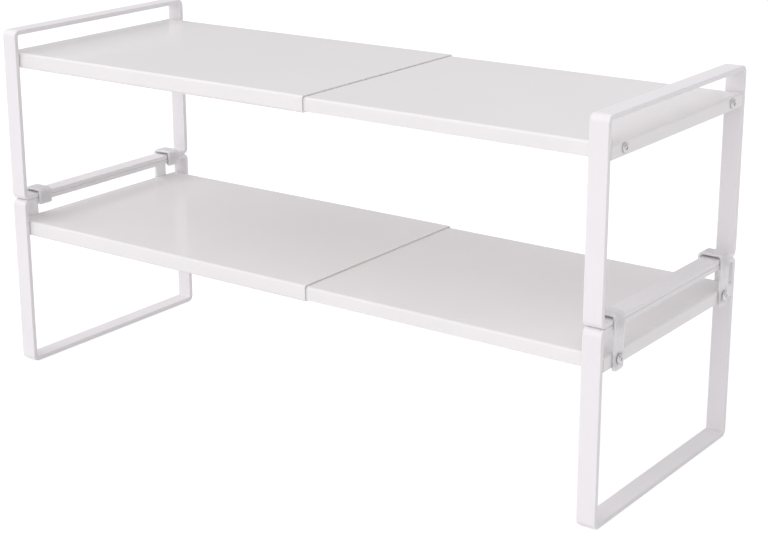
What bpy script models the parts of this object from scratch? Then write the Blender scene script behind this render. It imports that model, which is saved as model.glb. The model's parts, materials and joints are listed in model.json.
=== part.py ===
"""Cabinet shelf organizer: two stacked shelf units that pull out in length.

Each unit stands on two closed frames of bent flat bar. Its shelf is two folded sheet-metal
panels, one sliding inside the other, screwed to a cross bar in each frame. Four moulded clips
hold the upper unit on the lower one.

Metres, +Z up. X runs along the shelves and Y from front to back. The origin is on the floor,
under the middle of the shelves as they stand pulled out.
"""
import math

import bmesh
import bpy
from mathutils import Matrix

# Whole organizer, pulled out
OPEN_LENGTH = 0.624
DEPTH = 0.227
UNIT_HEIGHT = 0.160
PANEL_OVERLAP = 0.066

# Gaps between pieces
SEAT_GAP = 0.0003
SLIDE_GAP = 0.0005
POST_GAP = 0.0008

# Flat bar of the end frames
BAR_WIDTH = 0.016
BAR_THICKNESS = 0.004
BAR_BEND = 0.002
BAR_EDGE = 0.0006

# Folded shelf panels
SHELF_DROP = 0.0205
SHEET = 0.001
SHEET_BEND = 0.0012
FLANGE_DEPTH = 0.014
LIP_WIDTH = 0.008
CORNER_SLOT = 0.0014

# Stops of the pull-out: tabs bent up from the outer panel's lips, ears bent in on the inner one
TAB_LENGTH = 0.010
TAB_HEIGHT = 0.006
STOP_BITE = 0.0015
EAR_MARGIN = 0.0015

# Cross bar under each end of a shelf
CROSS_THICKNESS = 0.005
CROSS_HEIGHT = 0.010

# Screws and their holes
SCREW_INSET = 0.020
SCREW_RADIUS = 0.0017
SCREW_CHAMFER = 0.0005
SCREW_SHORT = 0.0005
HEAD_RADIUS = 0.004
HEAD_HEIGHT = 0.0020
HEAD_RIM = 0.0006
SOCKET_RADIUS = 0.0012
SOCKET_DEPTH = 0.0011
HOLE_GAP = 0.0003

# Stacking clips
CLIP_LENGTH = 0.0145
CLIP_WALL = 0.002
CLIP_TOP_GAP = 0.002
CLIP_SIDE_GAP = 0.001
CLIP_CORNER = 0.0036
CLIP_END_CORNER = 0.0012
CLIP_EDGE = 0.0003
HOOK_REACH = 0.0025
HOOK_SLOPE = 0.0012
FOOT_DROP = 0.002
FOOT_CORNER = 0.003
WEB_THICKNESS = 0.0014

# Fineness of arcs, the length cutters run past a face, how far joined solids sink into each other
QUARTER_STEPS = 6
ROUND_STEPS = 24
OVERRUN = 0.001
SINK = 0.0004
WELD = 0.00001
SMOOTH_ANGLE = math.radians(40)

# Places that follow from the sizes above
HALF_LENGTH = OPEN_LENGTH / 2
HALF_DEPTH = DEPTH / 2
PANEL_LENGTH = (OPEN_LENGTH + PANEL_OVERLAP) / 2
FOLD = SHEET_BEND + SHEET
POST_INSIDE = HALF_DEPTH - BAR_THICKNESS
OUTER_HALF_WIDTH = POST_INSIDE - POST_GAP
INNER_HALF_WIDTH = OUTER_HALF_WIDTH - SHEET - SLIDE_GAP
OUTER_TOP = UNIT_HEIGHT - SHELF_DROP
INNER_TOP = OUTER_TOP - SHEET - SEAT_GAP
INNER_FLANGE = FLANGE_DEPTH - 2 * (SHEET + SEAT_GAP)
CROSS_FACE = SHEET + SEAT_GAP
CROSS_BACK = CROSS_FACE + CROSS_THICKNESS
TONGUE_END = CROSS_BACK + SEAT_GAP
FLANGE_START = TONGUE_END + CORNER_SLOT
STACK_STEP = UNIT_HEIGHT + SEAT_GAP
SCREW_LEVEL = OUTER_TOP - FLANGE_DEPTH / 2
SCREW_PLACE = POST_INSIDE - SCREW_INSET
HOLE_RADIUS = SCREW_RADIUS + HOLE_GAP
CLIP_FACE = SEAT_GAP + CLIP_WALL

# Colours of the materials
WHITE_COAT = (0.83, 0.81, 0.82, 1)
CLEAR_GREY = (0.50, 0.51, 0.53, 1)
PLATED_STEEL = (0.55, 0.55, 0.56, 1)


def clear_scene():
    """Removes every object that the file starts with."""
    for item in list(bpy.data.objects):
        bpy.data.objects.remove(item, do_unlink=True)


def make_material(name, colour, roughness, metallic):
    """A plain Principled material."""
    material = bpy.data.materials.new(name)
    material.use_nodes = True
    shader = material.node_tree.nodes["Principled BSDF"]
    shader.inputs["Base Color"].default_value = colour
    shader.inputs["Roughness"].default_value = roughness
    shader.inputs["Metallic"].default_value = metallic
    return material


def rounded(corners, closed=True):
    """Points of an outline whose corners are (a, b, radius), with an arc at each radius."""
    points = []
    for index, (a, b, radius) in enumerate(corners):
        open_end = not closed and index in (0, len(corners) - 1)
        if radius <= 0 or open_end:
            points.append((a, b))
            continue
        before = corners[index - 1]
        after = corners[(index + 1) % len(corners)]
        heading_in = math.atan2(b - before[1], a - before[0])
        heading_out = math.atan2(after[1] - b, after[0] - a)
        turn = math.remainder(heading_out - heading_in, math.tau)
        side = math.copysign(1, turn)
        tangent = radius * math.tan(abs(turn) / 2)
        centre_a = a - tangent * math.cos(heading_in) - side * radius * math.sin(heading_in)
        centre_b = b - tangent * math.sin(heading_in) + side * radius * math.cos(heading_in)
        steps = max(1, round(QUARTER_STEPS * abs(turn) / (math.pi / 2)))
        for step in range(steps + 1):
            heading = heading_in + turn * step / steps
            points.append((centre_a + side * radius * math.sin(heading),
                           centre_b - side * radius * math.cos(heading)))
    return points


def rectangle(low_a, low_b, high_a, high_b, low_radius=0, high_radius=0):
    """The outline of a rectangle, with its low and its high corners rounded."""
    return rounded([(low_a, low_b, low_radius), (high_a, low_b, low_radius),
                    (high_a, high_b, high_radius), (low_a, high_b, high_radius)])


def circle(centre_a, centre_b, radius):
    """The outline of a circle."""
    angles = [math.tau * step / ROUND_STEPS for step in range(ROUND_STEPS)]
    return [(centre_a + radius * math.cos(angle), centre_b + radius * math.sin(angle))
            for angle in angles]


def along_x(a, b, c):
    """Outline in Y and Z, pushed along X."""
    return (c, a, b)


def along_y(a, b, c):
    """Outline in X and Z, pushed along Y."""
    return (a, c, b)


def along_z(a, b, c):
    """Outline in X and Y, pushed along Z."""
    return (a, b, c)


def add_prism(bm, outline, low, high, place):
    """A closed solid: an outline pushed from low to high in the direction that place names."""
    bottom = [bm.verts.new(place(a, b, low)) for a, b in outline]
    top = [bm.verts.new(place(a, b, high)) for a, b in outline]
    faces = [bm.faces.new(bottom), bm.faces.new(top)]
    for index, vert in enumerate(bottom):
        after = (index + 1) % len(bottom)
        faces.append(bm.faces.new((vert, bottom[after], top[after], top[index])))
    bmesh.ops.recalc_face_normals(bm, faces=faces)


def finished(name, bm):
    """Puts a finished bmesh into an object, which is a step on the way to a piece."""
    mesh = bpy.data.meshes.new(name)
    bm.to_mesh(mesh)
    bm.free()
    item = bpy.data.objects.new(name, mesh)
    bpy.context.scene.collection.objects.link(item)
    return item


def prism(name, outline, low, high, place):
    """An object with one prism."""
    bm = bmesh.new()
    add_prism(bm, outline, low, high, place)
    return finished(name, bm)


def add_bevel(item, width, segments):
    """Softens the sharp edges, and leaves the arcs as they are."""
    bevel = item.modifiers.new("Soft edges", "BEVEL")
    bevel.limit_method = "ANGLE"
    bevel.angle_limit = SMOOTH_ANGLE
    bevel.width = width
    bevel.segments = segments


def add_boolean(item, tool, operation):
    """Joins another solid to the item, cuts it away, or keeps what both share."""
    tool.hide_render = True
    tool.display_type = "WIRE"
    boolean = item.modifiers.new(operation.title(), "BOOLEAN")
    boolean.operation = operation
    boolean.solver = "EXACT"
    boolean.object = tool


def baked(item, *tools):
    """The item's mesh with its modifiers applied; the item and its tools are removed."""
    graph = bpy.context.evaluated_depsgraph_get()
    mesh = bpy.data.meshes.new_from_object(item.evaluated_get(graph))
    mesh.name = item.name
    mesh.shade_smooth()
    mesh.set_sharp_from_angle(angle=SMOOTH_ANGLE)
    for spent in (item, *tools):
        bpy.data.objects.remove(spent, do_unlink=True)
    return mesh


def screw_holes(level):
    """Two round bars along X, where the screws pass."""
    bm = bmesh.new()
    for place in (-SCREW_PLACE, SCREW_PLACE):
        add_prism(bm, circle(place, level, HOLE_RADIUS), -OVERRUN, CROSS_BACK + OVERRUN, along_x)
    return finished("screw_holes", bm)


def frame_mesh():
    """A closed loop of flat bar with four bends; its outer face is at x = 0."""
    outer = rectangle(-HALF_DEPTH, 0, HALF_DEPTH, UNIT_HEIGHT,
                      BAR_BEND + BAR_THICKNESS, BAR_BEND + BAR_THICKNESS)
    inner = rectangle(-POST_INSIDE, BAR_THICKNESS, POST_INSIDE, UNIT_HEIGHT - BAR_THICKNESS,
                      BAR_BEND, BAR_BEND)
    bm = bmesh.new()
    sections = ((0, outer), (0, inner), (BAR_WIDTH, inner), (BAR_WIDTH, outer))
    loops = [[bm.verts.new((x, y, z)) for y, z in outline] for x, outline in sections]
    for one, two in zip(loops, loops[1:] + loops[:1]):
        for index, vert in enumerate(one):
            after = (index + 1) % len(one)
            bm.faces.new((vert, one[after], two[after], two[index]))
    bmesh.ops.recalc_face_normals(bm, faces=bm.faces[:])
    item = finished("flat_bar_frame", bm)
    add_bevel(item, BAR_EDGE, 2)
    return baked(item)


def cross_bar_mesh(panel_top):
    """A flat bar on edge, close under a panel; x = 0 is the frame's outer face."""
    top = panel_top - SHEET - SEAT_GAP
    half = POST_INSIDE - SEAT_GAP
    outline = rectangle(CROSS_FACE, top - CROSS_HEIGHT, CROSS_BACK, top, SHEET_BEND, SHEET_BEND)
    item = prism("cross_bar", outline, -half, half, along_y)
    holes = screw_holes(SCREW_LEVEL)
    add_boolean(item, holes, "DIFFERENCE")
    return baked(item, holes)


def add_skin(bm, path, stations, place):
    """Quads of a folded sheet's outer skin: a path, repeated at each station."""
    rows = [[bm.verts.new(place(a, b, station)) for a, b in path] for station in stations]
    for row, following in zip(rows, rows[1:]):
        for index in range(len(path) - 1):
            bm.faces.new((row[index], row[index + 1], following[index + 1], following[index]))


def folded_sheet(name, bm):
    """Welds the skins of a panel, gives them the sheet's thickness and drills the end flange."""
    bmesh.ops.remove_doubles(bm, verts=bm.verts[:], dist=WELD)
    bmesh.ops.recalc_face_normals(bm, faces=bm.faces[:])
    highest = max(bm.faces, key=lambda face: face.calc_center_median().z)
    if highest.normal.z < 0:
        bmesh.ops.reverse_faces(bm, faces=bm.faces[:])
    item = finished(name, bm)
    solidify = item.modifiers.new("Sheet", "SOLIDIFY")
    solidify.thickness = SHEET
    solidify.offset = -1
    solidify.use_even_offset = True
    holes = screw_holes(SCREW_LEVEL)
    add_boolean(item, holes, "DIFFERENCE")
    return baked(item, holes)


def add_shelf_skins(bm, top, crown, flange_bottom, stations):
    """The shelf's flat top, and its end with the tongue that reaches between the posts."""
    widths = [-OUTER_HALF_WIDTH, -crown, crown, OUTER_HALF_WIDTH]
    end = rounded([(FOLD, top, 0), (0, top, FOLD), (0, flange_bottom, 0)], closed=False)
    add_skin(bm, end, widths, along_y)
    add_skin(bm, [(y, top) for y in widths], [FOLD, TONGUE_END], along_x)
    add_skin(bm, [(-crown, top), (crown, top)], [TONGUE_END] + stations, along_x)


def outer_panel_mesh():
    """The guide half of a shelf: flanges with lips turned in, and a stop tab on each lip."""
    crown = OUTER_HALF_WIDTH - FOLD
    bottom = OUTER_TOP - FLANGE_DEPTH
    lip_edge = OUTER_HALF_WIDTH - LIP_WIDTH
    tab_start = OPEN_LENGTH - PANEL_LENGTH + SHEET + SEAT_GAP
    tab_stations = [tab_start, tab_start + TAB_LENGTH]
    stations = [FLANGE_START] + tab_stations + [PANEL_LENGTH]
    side = rounded([(crown, OUTER_TOP, 0), (OUTER_HALF_WIDTH, OUTER_TOP, FOLD),
                    (OUTER_HALF_WIDTH, bottom, FOLD), (lip_edge, bottom, 0)], closed=False)
    tab = rounded([(lip_edge, bottom, 0), (lip_edge - FOLD, bottom, FOLD),
                   (lip_edge - FOLD, bottom + TAB_HEIGHT, 0)], closed=False)
    bm = bmesh.new()
    add_shelf_skins(bm, OUTER_TOP, crown, bottom, stations)
    for sign in (-1, 1):
        add_skin(bm, [(sign * y, z) for y, z in side], stations, along_x)
        add_skin(bm, [(sign * y, z) for y, z in tab], tab_stations, along_x)
    return folded_sheet("outer_panel", bm)


def inner_panel_mesh():
    """The sliding half of a shelf: plain flanges, and an ear at the hidden end of each."""
    crown = INNER_HALF_WIDTH - FOLD
    bottom = INNER_TOP - INNER_FLANGE
    mouth = PANEL_LENGTH - FOLD
    ear_levels = [INNER_TOP - FOLD - EAR_MARGIN, bottom + EAR_MARGIN]
    ear_tip = OUTER_HALF_WIDTH - LIP_WIDTH - FOLD - STOP_BITE
    side = rounded([(crown, INNER_TOP, 0), (INNER_HALF_WIDTH, INNER_TOP, FOLD),
                    (INNER_HALF_WIDTH, ear_levels[0], 0)], closed=False)
    side += [(INNER_HALF_WIDTH, ear_levels[1]), (INNER_HALF_WIDTH, bottom)]
    ear = rounded([(mouth, INNER_HALF_WIDTH, 0), (PANEL_LENGTH, INNER_HALF_WIDTH, FOLD),
                   (PANEL_LENGTH, ear_tip, 0)], closed=False)
    bm = bmesh.new()
    add_shelf_skins(bm, INNER_TOP, crown, bottom, [FLANGE_START, mouth])
    for sign in (-1, 1):
        add_skin(bm, [(sign * y, z) for y, z in side], [FLANGE_START, mouth], along_x)
        add_skin(bm, [(x, sign * y) for x, y in ear], ear_levels, along_z)
    return folded_sheet("inner_panel", bm)


def screw_mesh(seat):
    """A button-head screw; its head stands on the plane x = seat, outside the face x = 0."""
    crown = rounded([(seat + HEAD_HEIGHT, SOCKET_RADIUS, 0),
                     (seat + HEAD_HEIGHT, HEAD_RADIUS, HEAD_HEIGHT - HEAD_RIM),
                     (seat, HEAD_RADIUS, 0)], closed=False)
    socket_floor = seat + HEAD_HEIGHT - SOCKET_DEPTH
    tip = SCREW_SHORT - CROSS_BACK
    profile = [(socket_floor, 0), (socket_floor, SOCKET_RADIUS)] + crown
    profile += [(seat, SCREW_RADIUS), (tip + SCREW_CHAMFER, SCREW_RADIUS),
                (tip, SCREW_RADIUS - SCREW_CHAMFER), (tip, 0)]
    bm = bmesh.new()
    verts = [bm.verts.new((x, radius, 0)) for x, radius in profile]
    edges = [bm.edges.new(pair) for pair in zip(verts, verts[1:])]
    bmesh.ops.spin(bm, geom=verts + edges, axis=(1, 0, 0), cent=(0, 0, 0),
                   angle=math.tau, steps=ROUND_STEPS)
    bmesh.ops.remove_doubles(bm, verts=bm.verts[:], dist=WELD)
    bmesh.ops.recalc_face_normals(bm, faces=bm.faces[:])
    return baked(finished("screw", bm))


def clip_mesh():
    """A moulded clip: a leg screwed to the lower shelf's end, and a hook over both rails.

    x = 0 is the frames' outer face, +x points away from the shelf, and the clip is centred on y.
    """
    rail_bottom = UNIT_HEIGHT - BAR_THICKNESS
    rail_top = STACK_STEP + BAR_THICKNESS
    under = rail_top + CLIP_TOP_GAP
    top = under + CLIP_WALL
    wall_face = -BAR_WIDTH - CLIP_SIDE_GAP
    wall_back = wall_face - CLIP_WALL
    hook_tip = wall_face + HOOK_REACH
    hook_top = rail_bottom - SEAT_GAP
    hook_bottom = hook_top - CLIP_WALL
    foot = OUTER_TOP - FLANGE_DEPTH - FOOT_DROP
    inside_corner = CLIP_CORNER - CLIP_WALL
    half = CLIP_LENGTH / 2

    section = rounded([
        (SEAT_GAP, foot, 0), (CLIP_FACE, foot, 0),
        (CLIP_FACE, top, CLIP_CORNER), (wall_back, top, CLIP_CORNER),
        (wall_back, hook_bottom, 0), (hook_tip - HOOK_SLOPE, hook_bottom, 0),
        (hook_tip, hook_top, 0), (wall_face, hook_top, 0),
        (wall_face, under, inside_corner), (SEAT_GAP, under, inside_corner)])
    item = prism("stacking_clip", section, -half - OVERRUN, half + OVERRUN, along_y)

    # Seen from the end of the shelf the clip has round corners
    face = rectangle(-half, foot, half, top, FOOT_CORNER, CLIP_END_CORNER)
    end_view = prism("end_view", face, wall_back - OVERRUN, CLIP_FACE + OVERRUN, along_x)
    add_boolean(item, end_view, "INTERSECT")
    add_bevel(item, CLIP_EDGE, 1)

    # A web across the middle rests on the rails, and closes the play behind them
    rest_top = rail_top + SEAT_GAP
    rest_back = -BAR_WIDTH - SEAT_GAP
    web_outline = [(rest_back, hook_top - SINK), (rest_back, rest_top),
                   (SEAT_GAP + SINK, rest_top), (SEAT_GAP + SINK, under + SINK),
                   (wall_face - SINK, under + SINK), (wall_face - SINK, hook_top - SINK)]
    half_web = WEB_THICKNESS / 2
    web = prism("clip_web", web_outline, -half_web, half_web, along_y)
    add_boolean(item, web, "UNION")

    hole_outline = circle(0, SCREW_LEVEL, HOLE_RADIUS)
    hole = prism("clip_hole", hole_outline, -OVERRUN, CLIP_FACE + OVERRUN, along_x)
    add_boolean(item, hole, "DIFFERENCE")
    return baked(item, end_view, web, hole)


def add_half(name, x):
    """An empty that carries one half of the organizer; the right one is what pulls out."""
    empty = bpy.data.objects.new(name, None)
    empty.location = (x, 0, OUTER_TOP)
    bpy.context.scene.collection.objects.link(empty)
    return empty


def add_piece(name, mesh, material, half, place, turn):
    """A named piece on its half, at a place in the whole organizer and turned about Z."""
    if not mesh.materials:
        mesh.materials.append(material)
    piece = bpy.data.objects.new(name, mesh)
    bpy.context.scene.collection.objects.link(piece)
    piece.parent = half
    piece.matrix_local = (Matrix.Translation(place) @ Matrix.Rotation(turn, 4, "Z"))
    piece.location -= half.location
    return piece


def build():
    """Makes each kind of piece once, and places its copies in both units and both halves."""
    clear_scene()
    paint = make_material("frame_paint", WHITE_COAT, 0.35, 0)
    shelf_paint = make_material("shelf_paint", WHITE_COAT, 0.3, 0)
    bar_paint = make_material("cross_bar_paint", WHITE_COAT, 0.4, 0)
    plastic = make_material("clip_plastic", CLEAR_GREY, 0.35, 0)
    steel = make_material("screw_steel", PLATED_STEEL, 0.35, 1)

    frame = frame_mesh()
    clip = clip_mesh()
    screws = {"lower": screw_mesh(CLIP_FACE + SEAT_GAP), "upper": screw_mesh(SEAT_GAP)}
    left = add_half("left_half", -HALF_LENGTH)
    right = add_half("right_half", HALF_LENGTH)

    # Frames, panels and bars are drawn inward from the end face, clips and screws outward
    sides = (("left", left, "outer_panel", outer_panel_mesh(), cross_bar_mesh(OUTER_TOP), 0),
             ("right", right, "inner_panel", inner_panel_mesh(), cross_bar_mesh(INNER_TOP), math.pi))
    for side, half, panel_name, panel, cross_bar, turn in sides:
        x = half.location.x
        for unit, base in (("lower", 0), ("upper", STACK_STEP)):
            place = (x, 0, base)
            add_piece(f"{unit}_{side}_frame", frame, paint, half, place, turn)
            add_piece(f"{unit}_{panel_name}", panel, shelf_paint, half, place, turn)
            add_piece(f"{unit}_{side}_cross_bar", cross_bar, bar_paint, half, place, turn)
            for row, y in (("front", -SCREW_PLACE), ("back", SCREW_PLACE)):
                place = (x, y, base + SCREW_LEVEL)
                add_piece(f"{unit}_{side}_{row}_screw", screws[unit], steel, half, place,
                          turn + math.pi)
        for row, y in (("front", -SCREW_PLACE), ("back", SCREW_PLACE)):
            add_piece(f"{side}_{row}_clip", clip, plastic, half, (x, y, 0), turn + math.pi)


build()
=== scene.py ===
import json
import math

import bmesh
import bpy
from mathutils import Matrix, Vector


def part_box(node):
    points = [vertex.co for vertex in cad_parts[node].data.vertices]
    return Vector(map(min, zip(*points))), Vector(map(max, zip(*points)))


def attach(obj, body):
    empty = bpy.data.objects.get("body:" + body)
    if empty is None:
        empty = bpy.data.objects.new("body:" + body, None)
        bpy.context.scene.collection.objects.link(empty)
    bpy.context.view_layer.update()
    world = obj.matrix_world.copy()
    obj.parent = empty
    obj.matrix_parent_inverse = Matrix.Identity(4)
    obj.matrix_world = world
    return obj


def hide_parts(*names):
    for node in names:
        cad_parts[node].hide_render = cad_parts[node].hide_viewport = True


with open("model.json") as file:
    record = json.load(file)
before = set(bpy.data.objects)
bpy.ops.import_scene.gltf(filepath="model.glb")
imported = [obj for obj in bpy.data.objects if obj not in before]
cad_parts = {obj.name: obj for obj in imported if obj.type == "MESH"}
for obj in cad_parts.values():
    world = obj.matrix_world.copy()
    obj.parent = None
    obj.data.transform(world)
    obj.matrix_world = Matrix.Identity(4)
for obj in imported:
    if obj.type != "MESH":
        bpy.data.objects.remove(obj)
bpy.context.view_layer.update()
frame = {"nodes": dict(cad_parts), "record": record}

NODES = frame["nodes"]
BODIES = frame["record"]["behaviour"]["bodies"]
scene = bpy.context.scene


# Node helpers: NOISE_SPAN holds most values of a noise, EDGE_SPAN the cosines from edge to flat face

NOISE_SPAN = (0.3, 0.7)
EDGE_SPAN = (0.80, 0.995)
EDGE_SAMPLES = 6


def new_material(name):
    """An empty node tree with its output, and the Principled shader."""
    material = bpy.data.materials.new(name)
    material.use_nodes = True
    tree = material.node_tree
    tree.nodes.clear()
    output = tree.nodes.new("ShaderNodeOutputMaterial")
    output.name = "Material Output"
    shader = tree.nodes.new("ShaderNodeBsdfPrincipled")
    tree.links.new(shader.outputs["BSDF"], output.inputs["Surface"])
    return material, tree, shader


def add(tree, kind, inputs=(), **settings):
    """A node with its settings and its inputs; an input may be a value or another node's output."""
    node = tree.nodes.new("ShaderNode" + kind)
    for key, value in settings.items():
        setattr(node, key, value)
    for key, value in dict(inputs).items():
        if isinstance(value, bpy.types.NodeSocket):
            tree.links.new(value, node.inputs[key])
        else:
            node.inputs[key].default_value = value
    return node


def noise(tree, vector, scale, detail):
    """A noise between 0 and 1; its scale is in cycles a metre."""
    return add(tree, "TexNoise", {"Vector": vector, "Scale": scale, "Detail": detail}).outputs["Fac"]


def spread(tree, value, low, high, span=NOISE_SPAN):
    """The value mapped from its span to low and high, and held between them."""
    node = add(tree, "MapRange", {"Value": value, "From Min": span[0], "From Max": span[1],
                                  "To Min": low, "To Max": high})
    return node.outputs["Result"]


def maths(tree, operation, one, two):
    """One Math node."""
    return add(tree, "Math", {0: one, 1: two}, operation=operation).outputs[0]


def mixed(tree, factor, one, two):
    """A colour between two colours; the Mix node's colours are inputs 6 and 7 and output 2."""
    node = tree.nodes.new("ShaderNodeMix")
    node.data_type = "RGBA"
    for socket, value in ((node.inputs[0], factor), (node.inputs[6], one), (node.inputs[7], two)):
        if isinstance(value, bpy.types.NodeSocket):
            tree.links.new(value, socket)
        else:
            socket.default_value = value
    return node.outputs[2]


def edge_mask(tree, radius):
    """1 on the sharp or bent edges and 0 on flat faces, from how far a bevelled normal turns."""
    bevel = add(tree, "Bevel", {"Radius": radius}, samples=EDGE_SAMPLES)
    geometry = add(tree, "NewGeometry")
    cosine = add(tree, "VectorMath", {0: bevel.outputs["Normal"], 1: geometry.outputs["Normal"]},
                 operation="DOT_PRODUCT").outputs["Value"]
    return spread(tree, cosine, 1.0, 0.0, EDGE_SPAN)


def link_surface(tree, shader, tone, rough, height, strength, distance):
    """Gives the shader its colour, its roughness and its bump."""
    tree.links.new(tone, shader.inputs["Base Color"])
    tree.links.new(rough, shader.inputs["Roughness"])
    bump = add(tree, "Bump", {"Height": height, "Strength": strength, "Distance": distance})
    tree.links.new(bump.outputs["Normal"], shader.inputs["Normal"])


# Powder coat of the metal pieces; each noise here and below is given by its scale and its detail

COAT = (0.895, 0.875, 0.89, 1.0)
SHELF_COAT = (0.895, 0.875, 0.871, 1.0)
WORN = (0.70, 0.69, 0.70, 1.0)
SEED_STEPS = (1.0, 0.7, 0.3)
COAT_CLOUD = (14.0, 3.0)
COAT_SPECKS = (900.0, 2.0)
COAT_PEEL = (1500.0, 1.0)
COAT_SWELL = (260.0, 2.0)
SPECK_SPAN = (0.55, 0.85)
SPECK_WEAR = 0.10
COAT_MOTTLE = 0.975
COAT_EDGE_RADIUS = 0.0008
COAT_EDGE_WEAR = 0.16
COAT_EDGE_POLISH = 0.03
ROUGHNESS_SWING = 0.03
SWELL_SHARE = 0.7
PEEL_SHARE = 0.3
COAT_BUMP_STRENGTH = 0.12
COAT_BUMP_DISTANCE = 0.00006
COAT_IOR = 1.5


def powder_coat(name, colour, roughness, seed):
    """White powder coat: fine orange peel, slight mottling, and edges a little worn and polished."""
    material, tree, shader = new_material(name)
    where = add(tree, "TexCoord").outputs["Object"]
    offset = tuple(seed * step for step in SEED_STEPS)
    place = add(tree, "Mapping", {"Vector": where, "Location": offset}).outputs[0]
    cloud = noise(tree, place, *COAT_CLOUD)
    specks = spread(tree, noise(tree, place, *COAT_SPECKS), 0.0, SPECK_WEAR, SPECK_SPAN)
    edge = edge_mask(tree, COAT_EDGE_RADIUS)
    mottled = tuple(channel * COAT_MOTTLE for channel in colour[:3]) + (1.0,)
    tone = mixed(tree, spread(tree, cloud, 0.0, 1.0), colour, mottled)
    tone = mixed(tree, specks, tone, WORN)
    tone = mixed(tree, maths(tree, "MULTIPLY", edge, COAT_EDGE_WEAR), tone, WORN)
    rough = spread(tree, cloud, roughness - ROUGHNESS_SWING, roughness + ROUGHNESS_SWING)
    rough = maths(tree, "SUBTRACT", rough, maths(tree, "MULTIPLY", edge, COAT_EDGE_POLISH))
    swell = maths(tree, "MULTIPLY", noise(tree, place, *COAT_SWELL), SWELL_SHARE)
    peel = maths(tree, "MULTIPLY", noise(tree, place, *COAT_PEEL), PEEL_SHARE)
    height = maths(tree, "ADD", swell, peel)
    link_surface(tree, shader, tone, rough, height, COAT_BUMP_STRENGTH, COAT_BUMP_DISTANCE)
    shader.inputs["IOR"].default_value = COAT_IOR
    return material


# Plastic of the clips

CLIP_DARK = (0.80, 0.78, 0.80, 1.0)
CLIP_LIGHT = (0.88, 0.86, 0.88, 1.0)
# Grey of the painted shade along the clip's edges and creases
CLIP_EDGE_SHADE = (0.68, 0.67, 0.68, 1.0)
CLIP_CLOUD = (120.0, 3.0)
CLIP_FLOW = (420.0, 2.0)
CLIP_EDGE_RADIUS = 0.0007
CLIP_EDGE_SHADE_SHARE = 0.45
CLIP_ROUGHNESS = (0.32, 0.42)
CLIP_BUMP_STRENGTH = 0.10
CLIP_BUMP_DISTANCE = 0.0001
CLIP_IOR = 1.45
CLIP_SCATTER_SHARE = 0.85
CLIP_SCATTER_RADIUS = (1.0, 1.0, 1.0)
CLIP_SCATTER_SCALE = 0.008


def milky_plastic(name):
    """Moulded translucent plastic: cloudy and softly glossy, with a painted shade darkening its edges.
    """
    material, tree, shader = new_material(name)
    where = add(tree, "TexCoord").outputs["Object"]
    cloud = noise(tree, where, *CLIP_CLOUD)
    flow = noise(tree, where, *CLIP_FLOW)
    edge = edge_mask(tree, CLIP_EDGE_RADIUS)
    tone = mixed(tree, spread(tree, cloud, 0.0, 1.0), CLIP_DARK, CLIP_LIGHT)
    # Painted shade: edges and creases darken towards a grey, standing in for the dark outlines light
    # gives translucent plastic
    tone = mixed(tree, maths(tree, "MULTIPLY", edge, CLIP_EDGE_SHADE_SHARE), tone, CLIP_EDGE_SHADE)
    rough = spread(tree, cloud, *CLIP_ROUGHNESS)
    link_surface(tree, shader, tone, rough, flow, CLIP_BUMP_STRENGTH, CLIP_BUMP_DISTANCE)
    shader.inputs["IOR"].default_value = CLIP_IOR
    shader.inputs["Subsurface Weight"].default_value = CLIP_SCATTER_SHARE
    shader.inputs["Subsurface Radius"].default_value = CLIP_SCATTER_RADIUS
    shader.inputs["Subsurface Scale"].default_value = CLIP_SCATTER_SCALE
    return material


# Steel of the screws

STEEL_DARK = (0.62, 0.61, 0.62, 1.0)
STEEL_LIGHT = (0.72, 0.71, 0.72, 1.0)
STEEL_EDGE = (0.85, 0.84, 0.85, 1.0)
STEEL_GRAIN = (1800.0, 2.0)
STEEL_CLOUD = (160.0, 2.0)
STEEL_EDGE_RADIUS = 0.0003
STEEL_EDGE_SHARE = 0.4
STEEL_ROUGHNESS = (0.34, 0.46)
STEEL_BUMP_STRENGTH = 0.15
STEEL_BUMP_DISTANCE = 0.00004


def plated_steel(name):
    """Plated steel: a fine grain, a cloudy tone, and brighter worn edges."""
    material, tree, shader = new_material(name)
    where = add(tree, "TexCoord").outputs["Object"]
    grain = noise(tree, where, *STEEL_GRAIN)
    cloud = noise(tree, where, *STEEL_CLOUD)
    edge = edge_mask(tree, STEEL_EDGE_RADIUS)
    tone = mixed(tree, spread(tree, cloud, 0.0, 1.0), STEEL_DARK, STEEL_LIGHT)
    tone = mixed(tree, maths(tree, "MULTIPLY", edge, STEEL_EDGE_SHARE), tone, STEEL_EDGE)
    rough = spread(tree, grain, *STEEL_ROUGHNESS)
    link_surface(tree, shader, tone, rough, grain, STEEL_BUMP_STRENGTH, STEEL_BUMP_DISTANCE)
    shader.inputs["Metallic"].default_value = 1.0
    return material


# Surfaces of the CAD nodes: welded and shaded smooth, the metal ones with round edges and a coat

COAT_THICKNESS = 0.00013
EDGE_ROUNDING = 0.00025
EDGE_STEPS = 3
SOLID_WELD = 0.00001
CORNER_WELD = 0.000001
FLAT_LIMIT = math.radians(1)
SMOOTH_LIMIT = math.radians(50)
SHARP_LIMIT = math.radians(35)


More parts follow.
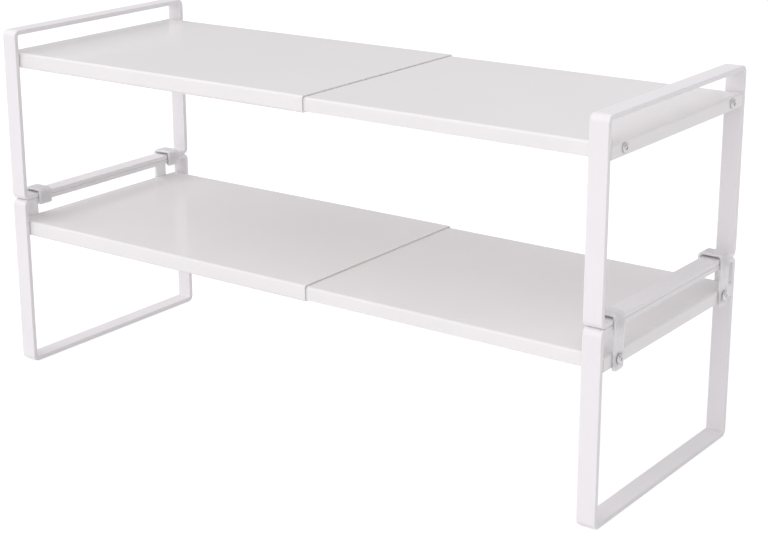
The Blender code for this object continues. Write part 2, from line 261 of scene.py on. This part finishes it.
def smooth_by_angle():
    """A modifier group that drops a CAD mesh's own normals and smooths all but its sharp edges."""
    tree = bpy.data.node_groups.new("smooth_by_angle", "GeometryNodeTree")
    for direction in ("INPUT", "OUTPUT"):
        tree.interface.new_socket("Geometry", in_out=direction, socket_type="NodeSocketGeometry")
    start = tree.nodes.new("NodeGroupInput")
    end = tree.nodes.new("NodeGroupOutput")
    bare = tree.nodes.new("GeometryNodeRemoveAttribute")
    bare.inputs["Name"].default_value = "custom_normal"
    faces = tree.nodes.new("GeometryNodeSetShadeSmooth")
    edges = tree.nodes.new("GeometryNodeSetShadeSmooth")
    edges.domain = "EDGE"
    angle = tree.nodes.new("GeometryNodeInputMeshEdgeAngle")
    flat = tree.nodes.new("FunctionNodeCompare")
    flat.operation = "LESS_THAN"
    flat.inputs[1].default_value = SMOOTH_LIMIT
    tree.links.new(angle.outputs["Unsigned Angle"], flat.inputs[0])
    tree.links.new(flat.outputs[0], edges.inputs["Shade Smooth"])
    for one, two in ((start, bare), (bare, faces), (faces, edges), (edges, end)):
        tree.links.new(one.outputs[0], two.inputs[0])
    return tree


SMOOTHING = smooth_by_angle()


def add_weld(item, name, distance):
    """Joins the points of a mesh that lie this close, and with them any face with no area."""
    item.modifiers.new(name, "WELD").merge_threshold = distance


def add_bevel(item, width, steps):
    """Rounds the sharp edges of a mesh, and gives back the modifier."""
    rounded = item.modifiers.new("rounded_edges", "BEVEL")
    rounded.width = width
    rounded.segments = steps
    rounded.limit_method = "ANGLE"
    rounded.angle_limit = SHARP_LIMIT
    return rounded


def refine(item, coated):
    """Joins the faces of a solid and shades it smooth; a coated one gets round edges and its coat."""
    add_weld(item, "joined_points", SOLID_WELD)
    joined = item.modifiers.new("joined_faces", "DECIMATE")
    joined.decimate_type = "DISSOLVE"
    joined.angle_limit = FLAT_LIMIT
    if coated:
        # A clamped bevel would shrink to nothing at the short edges of the bends and notches
        add_bevel(item, EDGE_ROUNDING, EDGE_STEPS).use_clamp_overlap = False
        add_weld(item, "joined_corners", CORNER_WELD)
        thicker = item.modifiers.new("coat", "DISPLACE")
        thicker.strength = COAT_THICKNESS
        thicker.mid_level = 0.0
    item.modifiers.new("smooth", "NODES").node_group = SMOOTHING
    item.modifiers.new("flat_faces", "WEIGHTED_NORMAL").keep_sharp = True


# Each look belongs to the nodes whose names end with its key
LOOKS = {
    "frame": powder_coat("frame_coat", COAT, roughness=0.36, seed=0.0),
    "panel": powder_coat("panel_coat", SHELF_COAT, roughness=0.16, seed=3.0),
    "cross_bar": powder_coat("cross_bar_coat", COAT, roughness=0.45, seed=6.0),
    "clip": milky_plastic("clip_plastic"),
    "screw": plated_steel("screw_steel"),
}

for name, node in NODES.items():
    look = next(material for key, material in LOOKS.items() if name.endswith(key))
    for slot in node.material_slots:
        slot.material = look
    if not name.endswith("screw"):
        refine(node, coated=not name.endswith("clip"))


# Screws: pan heads with a cross recess, each in the place of its plain solid

HEAD_RADIUS = 0.004
HEAD_HEIGHT = 0.002
HEAD_RIM = 0.0005
HEAD_TOP_RADIUS = 0.0022
SHANK_RADIUS = 0.0017
SHANK_CHAMFER = 0.0005
RECESS_REACH = 0.0022
RECESS_WIDTH = 0.0009
RECESS_DEPTH = 0.0013
RECESS_TAPER_SHARE = 0.55
RECESS_TURN = math.radians(20)
SCREW_ROUNDING = 0.00008
SCREW_ROUNDING_STEPS = 2
SCREW_SMOOTH_LIMIT = math.radians(40)
TURN_STEPS = 48
DOME_STEPS = 8


def turned(profile):
    """A closed turned solid round X from (x, radius) points; the first and last radii are zero."""
    bm = bmesh.new()
    rings = []
    for x, radius in profile:
        if radius == 0.0:
            rings.append([bm.verts.new((x, 0.0, 0.0))])
            continue
        angles = (2 * math.pi * step / TURN_STEPS for step in range(TURN_STEPS))
        rings.append([bm.verts.new((x, radius * math.cos(a), radius * math.sin(a))) for a in angles])
    for one, two in zip(rings, rings[1:]):
        for step in range(TURN_STEPS):
            corners = [one[step % len(one)], one[(step + 1) % len(one)],
                       two[(step + 1) % len(two)], two[step % len(two)]]
            bm.faces.new(list(dict.fromkeys(corners)))
    bmesh.ops.recalc_face_normals(bm, faces=bm.faces)
    return bm


def recess_cutter():
    """Two crossed wedges that narrow inwards, from above the head's top, which is at x 0."""
    bm = bmesh.new()
    half = RECESS_WIDTH / 2
    above = RECESS_WIDTH
    top_reach = RECESS_REACH * (1 + (1 - RECESS_TAPER_SHARE) * above / RECESS_DEPTH)
    deep_reach = RECESS_REACH * RECESS_TAPER_SHARE
    for upright in (False, True):
        rows = []
        for x, reach in ((above, top_reach), (-RECESS_DEPTH, deep_reach)):
            y, z = (half, reach) if upright else (reach, half)
            rows.append([bm.verts.new((x, *corner)) for corner in ((y, z), (-y, z), (-y, -z), (y, -z))])
        bm.faces.new(rows[0])
        bm.faces.new(rows[1][::-1])
        for step in range(4):
            after = (step + 1) % 4
            bm.faces.new((rows[0][step], rows[1][step], rows[1][after], rows[0][after]))
    bmesh.ops.recalc_face_normals(bm, faces=bm.faces)
    return bm


def mesh_object(name, bm):
    """A new object from a bmesh, which it frees."""
    mesh = bpy.data.meshes.new(name)
    bm.to_mesh(mesh)
    bm.free()
    item = bpy.data.objects.new(name, mesh)
    scene.collection.objects.link(item)
    return item


def screw_mesh(name, length):
    """A screw with the top of its head at x 0, its axis along -X and its recess cut."""
    tip = -length
    seat = -HEAD_HEIGHT
    profile = [(tip, 0.0), (tip, SHANK_RADIUS - SHANK_CHAMFER), (tip + SHANK_CHAMFER, SHANK_RADIUS),
               (seat, SHANK_RADIUS), (seat, HEAD_RADIUS)]
    for step in range(DOME_STEPS + 1):
        turn = math.pi / 2 * step / DOME_STEPS
        profile.append((seat + HEAD_RIM + (HEAD_HEIGHT - HEAD_RIM) * math.sin(turn),
                        HEAD_TOP_RADIUS + (HEAD_RADIUS - HEAD_TOP_RADIUS) * math.cos(turn)))
    profile.append((0.0, 0.0))
    item = mesh_object(name, turned(profile))
    cutter = mesh_object(name + "_cutter", recess_cutter())
    cut = item.modifiers.new("recess", "BOOLEAN")
    cut.operation = "DIFFERENCE"
    cut.use_self = True
    cut.object = cutter
    add_bevel(item, SCREW_ROUNDING, SCREW_ROUNDING_STEPS)
    add_weld(item, "joined_corners", CORNER_WELD)
    depsgraph = bpy.context.evaluated_depsgraph_get()
    mesh = bpy.data.meshes.new_from_object(item.evaluated_get(depsgraph))
    item.modifiers.clear()
    item.data = mesh
    bpy.data.objects.remove(cutter)
    mesh.shade_smooth()
    mesh.set_sharp_from_angle(angle=SCREW_SMOOTH_LIMIT)
    return item


for body, names in BODIES.items():
    faces_right = body == "right_half"
    for name in names:
        if not name.endswith("screw"):
            continue
        low, high = (Vector(corner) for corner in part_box(name))
        screw = screw_mesh(name.replace("screw", "cross_screw"), high.x - low.x)
        middle = (low + high) / 2
        head = Vector((high.x if faces_right else low.x, middle.y, middle.z))
        outwards = Matrix.Rotation(0.0 if faces_right else math.pi, 4, "Z")
        screw.data.transform(Matrix.Translation(head) @ outwards @ Matrix.Rotation(RECESS_TURN, 4, "X"))
        screw.data.materials.clear()
        screw.data.materials.append(LOOKS["screw"])
        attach(screw, body)
        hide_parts(name)


# Floor: just below the coat of the feet

FLOOR_RADIUS = 12.0
FLOOR_SIDES = 64
FLOOR_LEVEL = -0.0002
FLOOR_GREY = (0.85, 0.85, 0.85, 1.0)
FLOOR_ROUGHNESS = 0.9
SHOWN_GLOW = 0.72
SHOWN_GREY = (0.42, 0.42, 0.42, 1.0)
WHITE = (1.0, 1.0, 1.0, 1.0)


def stage_material():
    """White to the eye and in reflections, with the object's soft shadow; matte to other light."""
    material, tree, shader = new_material("studio_white")
    shader.inputs["Base Color"].default_value = FLOOR_GREY
    shader.inputs["Roughness"].default_value = FLOOR_ROUGHNESS
    output = tree.nodes["Material Output"]
    glow = add(tree, "Emission", {"Color": WHITE, "Strength": SHOWN_GLOW})
    soft = add(tree, "BsdfDiffuse", {"Color": SHOWN_GREY})
    white = add(tree, "AddShader", {0: glow.outputs[0], 1: soft.outputs[0]})
    path = add(tree, "LightPath")
    shown = maths(tree, "MAXIMUM", path.outputs["Is Camera Ray"], path.outputs["Is Glossy Ray"])
    shown = maths(tree, "MAXIMUM", shown, path.outputs["Is Transmission Ray"])
    mix = add(tree, "MixShader", {0: shown, 1: shader.outputs[0], 2: white.outputs[0]})
    tree.links.new(mix.outputs[0], output.inputs["Surface"])
    return material


def add_floor():
    """A large round floor."""
    bm = bmesh.new()
    bmesh.ops.create_circle(bm, cap_ends=True, radius=FLOOR_RADIUS, segments=FLOOR_SIDES)
    floor = mesh_object("studio_floor", bm)
    floor.location.z = FLOOR_LEVEL
    floor.data.materials.append(stage_material())


# Light: broad soft lobes, each with its azimuth from the front towards +X, its height and its strength

LOBES = [(0, 12, 0.81), (45, 12, 0.70), (180, 12, 0.59), (270, 12, 0.85),
         (135, 45, 0.78), (225, 45, 0.34), (315, 45, 1.45), (0, 90, 0.17)]
LOBE_POWER = 4.0
LIGHT_COLOUR = (1.0, 0.985, 1.0, 1.0)


def add_world():
    """White light from the lobes; each falls off with a power of the cosine."""
    world = bpy.data.worlds.new("studio")
    scene.world = world
    world.use_nodes = True
    tree = world.node_tree
    tree.nodes.clear()
    output = tree.nodes.new("ShaderNodeOutputWorld")
    view = add(tree, "TexCoord").outputs["Generated"]
    total = 0.0
    for azimuth, height, strength in LOBES:
        azimuth, height = math.radians(azimuth), math.radians(height)
        towards = (math.sin(azimuth) * math.cos(height), -math.cos(azimuth) * math.cos(height),
                   math.sin(height))
        cosine = add(tree, "VectorMath", {0: view, 1: towards}, operation="DOT_PRODUCT").outputs["Value"]
        lobe = maths(tree, "POWER", maths(tree, "MAXIMUM", cosine, 0.0), LOBE_POWER)
        total = maths(tree, "ADD", maths(tree, "MULTIPLY", lobe, strength), total)
    light = add(tree, "Background", {"Color": LIGHT_COLOUR, "Strength": total})
    tree.links.new(light.outputs[0], output.inputs["Surface"])


add_floor()
add_world()


# Camera at the photograph's place

IMAGE_WIDTH = 768
SENSOR_WIDTH = 36.0
NEAREST = 0.05
FARTHEST = 60.0


def add_camera(place, yaw, pitch, roll, focal_px, shift_px):
    """Yaw turns left from +Y, pitch looks down, roll is clockwise; angles in degrees."""
    yaw, pitch, roll = (math.radians(angle) for angle in (yaw, pitch, roll))
    forward = Vector((-math.sin(yaw) * math.cos(pitch), math.cos(yaw) * math.cos(pitch),
                      -math.sin(pitch)))
    level = Vector((math.cos(yaw), math.sin(yaw), 0.0))
    above = level.cross(forward)
    right = math.cos(roll) * level + math.sin(roll) * above
    up = math.cos(roll) * above - math.sin(roll) * level
    data = bpy.data.cameras.new("camera")
    data.sensor_width = SENSOR_WIDTH
    data.lens = focal_px / IMAGE_WIDTH * SENSOR_WIDTH
    data.shift_x = -shift_px[0] / IMAGE_WIDTH
    data.shift_y = shift_px[1] / IMAGE_WIDTH
    data.clip_start = NEAREST
    data.clip_end = FARTHEST
    camera = bpy.data.objects.new("camera", data)
    scene.collection.objects.link(camera)
    turn = Matrix((right, up, -forward)).transposed()
    camera.matrix_world = Matrix.Translation(place) @ turn.to_4x4()
    scene.camera = camera


add_camera(place=(0.8720, -1.1622, 0.5875), yaw=37.829, pitch=16.439, roll=-0.659,
           focal_px=1713.6, shift_px=(-60, -40))
scene.view_settings.view_transform = "Standard"
